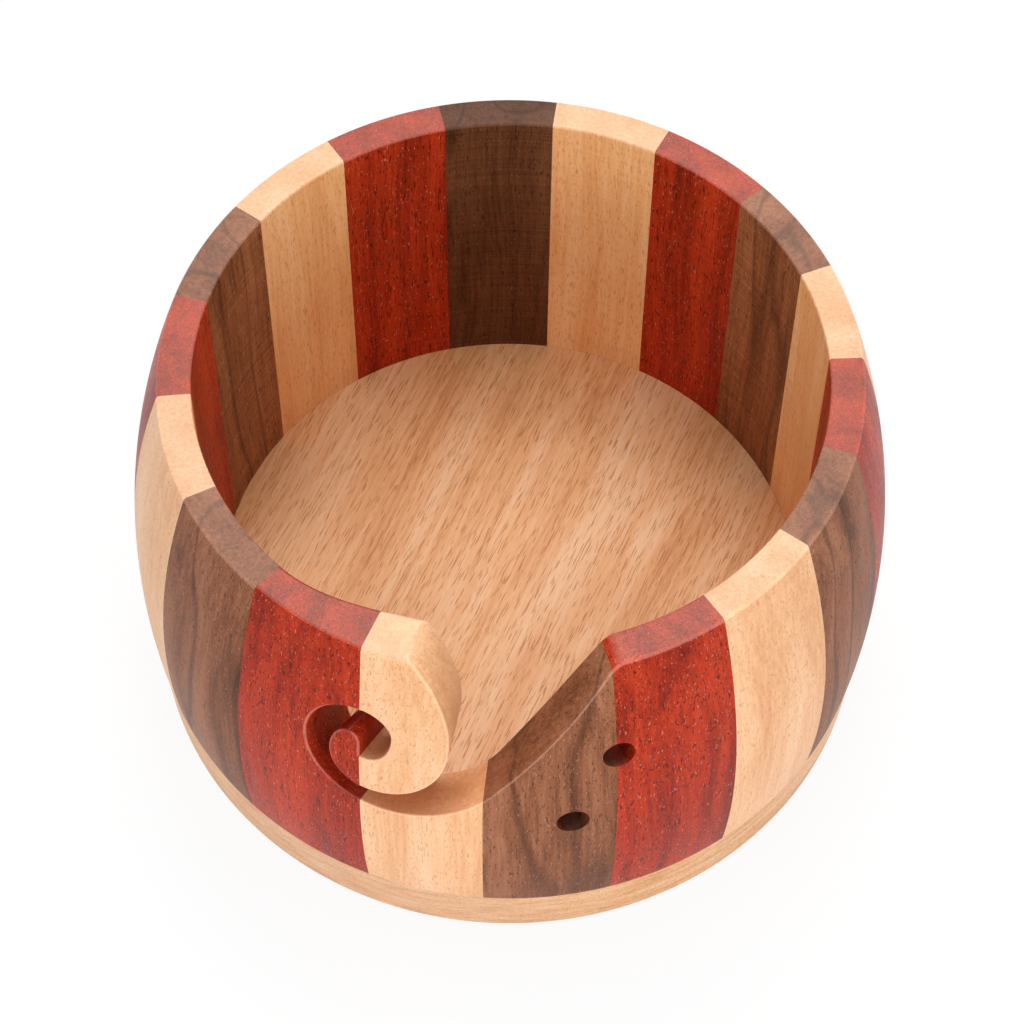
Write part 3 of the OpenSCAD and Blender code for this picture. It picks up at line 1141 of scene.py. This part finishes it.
    def hook(self) -> Stations:
        """Lines of the hook from its inner side to its front, from the rim round to the tip's joint.

        Returns:
            Its cross lines, from the rim down.
        """
        slot, top, points = self.slot, self.barrel.height, self.curve_points
        front = slot.hook_front(points)
        under = quarter(slot.hook_low, slot.tip_left, True, points)[1:]
        outer = np.concatenate([front, under[under[:, 0] > self.seam(under[:, 1])]])
        over = quarter(slot.loop_top, slot.eye_right, True, points)
        eye = np.concatenate([over, quarter(slot.eye_right, slot.eye_low, False, points)[1:]])
        start_z, end_z = slot.loop_top[1], slot.eye_low[1]
        eye = np.concatenate([[[self.seam(start_z), start_z]], eye, [[self.seam(end_z), end_z]]])
        drops, insets = self.rim_lines()
        shoulder = outer[np.argmin(np.abs(outer[:, 1] - start_z - slot.shoulder_rise)) :]
        neck = outer[: len(outer) - len(shoulder) + 1]
        down = np.linspace(top - self.barrel.rim_ease, start_z, self.neck_lines)
        neck = resampled(neck[neck[:, 1] < top - self.barrel.rim_ease], len(down))
        round_a = resampled(eye, self.eye_lines)
        round_b = resampled(shoulder, self.eye_lines)
        rim_z = top - drops[::-1]
        rim_b = np.interp(rim_z, front[::-1, 1], front[::-1, 0])
        a = np.concatenate([
            np.stack([self.seam(rim_z), rim_z], 1),
            np.stack([self.seam(down), down], 1)[1:],
            round_a[1:],
        ])
        b = np.concatenate([np.stack([rim_b, rim_z], 1), neck[1:], round_b[1:]])
        count = len(a)
        glued = np.arange(count) < count - len(round_a) + 2
        low_z, right_z = slot.hook_low[1], slot.hook_right[1]
        steep = np.clip((right_z - b[:, 1]) / (right_z - low_z), 0, 1)
        return Stations(
            a=a,
            b=b,
            ease_a=np.where(glued, self.glue_line, slot.edge_ease),
            ease_b=np.full(count, slot.edge_ease),
            fall_a=np.ones(count),
            fall_b=slot.hook_fall_share + (1 - slot.hook_fall_share) * steep,
            inset=np.concatenate([insets[::-1], np.zeros(count - len(insets))]),
        )

    def tip(self) -> Stations:
        """Level lines of the curl's tip, from its left edge to the joint with the hook or its rounded top.

        Returns:
            Its cross lines, from the lowest up.
        """
        slot = self.slot
        under = quarter(slot.hook_low, slot.tip_left, True, 3 * self.curve_points // 2)
        under = under[under[:, 0] < self.seam(under[:, 1]) - self.tip_clear]
        left = np.concatenate([under, quarter(slot.tip_left, slot.tip_top, False, self.curve_points)[1:]])
        left = resampled(left, self.tip_lines)[:-1]
        z = left[:, 1]
        top_s, top_z = slot.tip_top
        nose = np.clip((z - top_z + slot.tip_slope) / slot.tip_slope, 0, 1)
        right = top_s + (self.seam(z) - top_s) * np.sqrt(1 - nose**2)
        free = z > slot.eye_low[1]
        count = len(left)
        return Stations(
            a=left,
            b=np.stack([right, z], 1),
            ease_a=np.full(count, slot.edge_ease),
            ease_b=np.where(free, slot.edge_ease, self.glue_line),
            fall_a=np.ones(count),
            fall_b=np.ones(count),
        )

    def drill(self, hole: tuple[float, float]) -> bpy.types.Object:
        """Cutter of a needle hole: a long cylinder through the wall, falling towards the bore.

        Args:
            hole: Direction of its mouth in degrees, and the mouth's depth below the rim.

        Returns:
            The cutter, to be deleted after use.
        """
        bearing, mouth_z = math.radians(hole[0]), self.slot.below_rim(hole[1])
        mouth_r = float(self.barrel.radius(np.array(mouth_z)))
        count, reach = self.drill_sides, self.drill_reach
        turn = np.linspace(0, 2 * math.pi, count, endpoint=False)
        ring = self.needle_d / 2 * np.stack([np.cos(turn), np.sin(turn)], 1)
        points = np.concatenate([np.column_stack([ring, np.full(count, end)]) for end in (-reach, reach)])
        tilt = Matrix.Rotation(math.radians(90 - self.needle_fall), 3, "Y")
        turned = np.array(Matrix.Rotation(bearing, 3, "Z") @ tilt)
        mouth = np.array([mouth_r * math.cos(bearing), mouth_r * math.sin(bearing), mouth_z])
        number = np.arange(count)
        after = np.roll(number, -1)
        sides = np.stack([number, after, after + count, number + count], 1).tolist()
        faces = sides + [number[::-1].tolist(), (number + count).tolist()]
        return self.maker.mesh_object("drill", points @ turned.T + mouth, faces)

    def plank(self, k: int) -> PlankFrame:
        """Plank of a stave, whose grain runs straight up.

        Args:
            k: Number of the stave, which stands between joints k and k + 1.

        Returns:
            The plank's directions, its own seeded shift and its tone.
        """
        middle = math.radians((self.ring.joint(k) + self.ring.joint(k + 1)) / 2)
        out = np.array([math.cos(middle), math.sin(middle), 0.0])
        across = np.array([-math.sin(middle), math.cos(middle), 0.0])
        spin = np.random.default_rng(40 + k)
        shift = spin.uniform(-900, 900, 3)
        return PlankFrame(across, out, np.array([0.0, 0.0, 1.0]), shift, self.tones[k])

    def build(self) -> None:
        """Builds and dresses every stave, the hook, the tip and the sill."""
        woods = [Wood.BEECH, Wood.PADAUK, Wood.WALNUT]
        drills = {hole: self.drill(hole) for hole in (self.upper_hole, self.lower_hole)}
        for k in range(self.ring.count):
            wood = woods[k % 3]
            node = f"{wood.value}_stave_{k // 3 + 1}"
            if k == SILL_STAVE:
                node = "slot_sill"
            made = self.piece(f"{node}_wood", self.looped() if k == LOOPED_STAVE else self.topped(k))
            if k in (CORNER_STAVE, RAMP_STAVE):
                self.maker.bore_out(made, drills[self.upper_hole])
            if k == RAMP_STAVE:
                self.maker.bore_out(made, drills[self.lower_hole])
            self.maker.dress(made, wood, self.plank(k), node)
        hook, tip = self.piece("slot_hook_wood", self.hook()), self.piece("curl_tip_wood", self.tip())
        self.maker.dress(hook, Wood.BEECH, self.plank(SILL_STAVE), "slot_hook")
        self.maker.dress(tip, Wood.PADAUK, self.plank(LOOPED_STAVE), "curl_tip")
        for cutter in drills.values():
            mesh = cutter.data
            bpy.data.objects.remove(cutter)
            bpy.data.meshes.remove(mesh)


@dataclass
class Base:
    """The round base: one beech board with its grain lying flat, in millimetres and degrees.

    Attributes:
        barrel: Sizes of the bowl.
        maker: Maker of the piece.
        glue_line: Rounding of the glued edge.
        grain_dir: Direction that the grain runs in.
        tone: Lightness of the board.
        shift: Millimetres added to the board's own coordinates.
        turns: Points round the disc.
        floor_points: Points of the outline from the floor's centre to its edge.
        edge_points: Points on the edge.
        foot_points: Points on the rounded foot.
        under_points: Points under the disc.
    """

    barrel: Barrel
    maker: Maker
    glue_line: float = 0.05
    grain_dir: float = 67.0
    tone: float = 0.95
    shift: tuple[float, float, float] = (310.0, -120.0, 75.0)
    turns: int = 240
    floor_points: int = 40
    edge_points: int = 8
    foot_points: int = 7
    under_points: int = 12

    def profile(self) -> np.ndarray:
        """Outline of the disc: a level floor, a leaning edge, a quarter circle and a level underside.

        Returns:
            Array of (radius, z) rows from the floor's centre to the underside's centre.
        """
        barrel, ease = self.barrel, self.barrel.foot_ease
        seam = float(barrel.radius(np.array(barrel.base_t)))
        floor_r = np.linspace(0, seam - self.glue_line, self.floor_points)
        floor = np.stack([floor_r, np.full(self.floor_points, barrel.base_t)], 1)
        lean = (seam - barrel.foot_r) / barrel.base_t
        edge_z = np.linspace(barrel.base_t - self.glue_line, ease, self.edge_points)
        edge = np.stack([barrel.foot_r + lean * edge_z, edge_z], 1)
        centre_r = barrel.foot_r + lean * ease - ease
        foot = arc((centre_r, ease), ease, 0, -90, self.foot_points)
        under = np.stack([np.linspace(centre_r, 0, self.under_points), np.zeros(self.under_points)], 1)
        return np.concatenate([floor, edge, foot[1:], under[1:]])

    def build(self) -> None:
        """Turns the outline round the bowl's axis and dresses the disc."""
        profile = self.profile()
        rings = profile[1:-1]
        turn = np.linspace(0, 2 * math.pi, self.turns, endpoint=False)
        body = np.stack([
            rings[:, :1] * np.cos(turn), rings[:, :1] * np.sin(turn), rings[:, 1:] + 0 * turn
        ], -1).reshape(-1, 3)
        points = np.concatenate([body, [[0, 0, profile[0, 1]], [0, 0, profile[-1, 1]]]])
        number = np.arange(len(body)).reshape(len(rings), self.turns)
        after = np.roll(number, -1, axis=1)
        quads = np.stack([number[:-1], number[1:], after[1:], after[:-1]], -1).reshape(-1, 4).tolist()
        centre = np.full(self.turns, len(body))
        floor = np.stack([centre, number[0], after[0]], 1).tolist()
        under = np.stack([centre + 1, after[-1], number[-1]], 1).tolist()
        made = self.maker.mesh_object("base_disc_wood", points, quads + floor + under)
        along = math.radians(self.grain_dir)
        plank = PlankFrame(
            across=np.array([-math.sin(along), math.cos(along), 0.0]),
            through=np.array([0.0, 0.0, 1.0]),
            along=np.array([math.cos(along), math.sin(along), 0.0]),
            shift=np.array(self.shift),
            tone=self.tone,
        )
        self.maker.dress(made, Wood.BEECH, plank, "base_disc", board=True)


@dataclass(frozen=True)
class Studio:
    """A white table under soft light, and the camera. Lengths are in metres.

    Attributes:
        floor_reach: How far the table runs each way.
        floor_drop: How far it lies below the bowl's underside.
        floor_colour: Its sRGB colour.
        camera_at: Place of the camera.
        camera_to: Point that it looks at.
        camera_roll: Its turn about its own axis, in degrees.
        lens_mm: Focal length on a sensor 36 mm wide.
        ambient: Strength of the even light.
        shadow_share: Share of the table's own shading that the camera sees.
        boxes_to: Point that the soft boxes look at.
        soft_boxes: Name, place, size and power in watts of each soft box.
    """

    floor_reach: float = 6.0
    floor_drop: float = 0.0003
    floor_colour: str = "#F8F8F8"
    camera_at: tuple = (0.0, -0.32535, 0.54329)
    camera_to: tuple = (0.00046, -0.0034, 0.045)
    camera_roll: float = 0.6
    lens_mm: float = 101.8
    ambient: float = 0.46
    shadow_share: float = 0.1
    boxes_to: tuple = (0.0, 0.0, 0.05)
    soft_boxes: tuple = (
        ("top soft box", (0.05, 0.15, 1.3), 0.6, 5.5),
        ("back soft box", (0.0, 0.45, 1.0), 0.35, 3.5),
        ("front soft box", (0.0, -0.9, 0.85), 0.4, 2.2),
        ("left soft box", (-0.6, -0.75, 0.3), 0.3, 1.5),
        ("right soft box", (0.55, -0.75, 0.25), 0.3, 2.0),
    )

    def light(self, name: str, place: tuple, size: float, power: float) -> None:
        """Adds a square soft box that looks at the bowl.

        Args:
            name: Name of the lamp.
            place: Where it stands.
            size: Length of its side.
            power: Its power in watts.
        """
        lamp = bpy.data.lights.new(name, "AREA")
        lamp.shape = "SQUARE"
        lamp.size = size
        lamp.energy = power
        holder = bpy.data.objects.new(name, lamp)
        bpy.context.scene.collection.objects.link(holder)
        aim = (Vector(self.boxes_to) - Vector(place)).to_track_quat("-Z", "Y")
        holder.matrix_world = Matrix.Translation(place) @ aim.to_matrix().to_4x4()

    def seen(self, tree: bpy.types.NodeTree) -> bpy.types.NodeSocket:
        """Adds a value that is 1 for rays that show the background: camera, glossy and transmitted ones.

        Args:
            tree: Node tree that gets the nodes.

        Returns:
            The value, which is 0 for all other rays.
        """
        rays = add_node(tree, "ShaderNodeLightPath").outputs
        mirrored = add_node(
            tree, "ShaderNodeMath", {"operation": "ADD"}, {0: rays["Is Camera Ray"], 1: rays["Is Glossy Ray"]}
        ).outputs[0]
        inputs = {0: mirrored, 1: rays["Is Transmission Ray"]}
        return add_node(tree, "ShaderNodeMath", {"operation": "ADD", "use_clamp": True}, inputs).outputs[0]

    def world(self) -> None:
        """Lights the scene evenly, and shows plain white wherever a ray leaves it."""
        world = bpy.data.worlds.new("white studio")
        bpy.context.scene.world = world
        world.use_nodes = True
        tree = world.node_tree
        ends = {"Value": self.seen(tree), "To Min": self.ambient, "To Max": 1.0}
        strength = add_node(tree, "ShaderNodeMapRange", None, ends)
        tree.links.new(strength.outputs[0], tree.nodes["Background"].inputs["Strength"])
        tree.nodes["Background"].inputs["Color"].default_value = (1, 1, 1, 1)

    def floor(self) -> None:
        """Lays a matt white sheet under the bowl."""
        reach = self.floor_reach
        corners = [(-reach, -reach), (reach, -reach), (reach, reach), (-reach, reach)]
        mesh = bpy.data.meshes.new("table")
        mesh.from_pydata([(x, y, -self.floor_drop) for x, y in corners], [], [[0, 1, 2, 3]])
        table = bpy.data.objects.new("table", mesh)
        bpy.context.scene.collection.objects.link(table)
        paper = bpy.data.materials.new("matt white paper")
        paper.use_nodes = True
        tree = paper.node_tree
        shader = tree.nodes["Principled BSDF"]
        shader.inputs["Base Color"].default_value = linear(self.floor_colour)
        shader.inputs["Roughness"].default_value = 0.9
        shader.inputs["Specular IOR Level"].default_value = 0.0
        # Seen by the camera, the sheet is mostly plain white, and keeps a share of the shadow
        white = add_node(tree, "ShaderNodeEmission", None, {"Color": (1, 1, 1, 1), "Strength": 1.0})
        inputs = {0: self.seen(tree), 1: 1 - self.shadow_share}
        share = add_node(tree, "ShaderNodeMath", {"operation": "MULTIPLY"}, inputs).outputs[0]
        inputs = {0: share, 1: shader.outputs[0], 2: white.outputs[0]}
        sheet = add_node(tree, "ShaderNodeMixShader", None, inputs).outputs[0]
        tree.links.new(sheet, tree.nodes["Material Output"].inputs["Surface"])
        mesh.materials.append(paper)

    def camera(self) -> None:
        """Places the camera that took the photograph, as worked out from the rim, foot and joints."""
        lens = bpy.data.cameras.new("camera")
        lens.lens = self.lens_mm
        lens.sensor_width = 36.0
        holder = bpy.data.objects.new("camera", lens)
        bpy.context.scene.collection.objects.link(holder)
        look = Vector(self.camera_to) - Vector(self.camera_at)
        level = look.to_track_quat("-Z", "Y").to_matrix().to_4x4()
        roll = Matrix.Rotation(math.radians(self.camera_roll), 4, "Z")
        holder.matrix_world = Matrix.Translation(self.camera_at) @ level @ roll
        bpy.context.scene.camera = holder

    def build(self) -> None:
        """Sets up the table, the lights and the camera."""
        self.world()
        self.floor()
        for soft_box in self.soft_boxes:
            self.light(*soft_box)
        self.camera()
        bpy.context.scene.view_settings.view_transform = "Standard"


def main() -> None:
    """Builds the bowl and the studio."""
    logging.basicConfig(level=logging.INFO, format="%(name)s: %(message)s")
    barrel = Barrel()
    finishes = {
        Wood.BEECH: BEECH_FINISH.build(),
        Wood.PADAUK: PADAUK_FINISH.build(),
        Wood.WALNUT: WALNUT_FINISH.build(),
    }
    maker = Maker(finishes, BOARD_FINISH.build())
    Studio().build()
    Wall(barrel, StaveRing(), YarnSlot(barrel), maker).build()
    Base(barrel, maker).build()


if __name__ == "__main__":
    main()
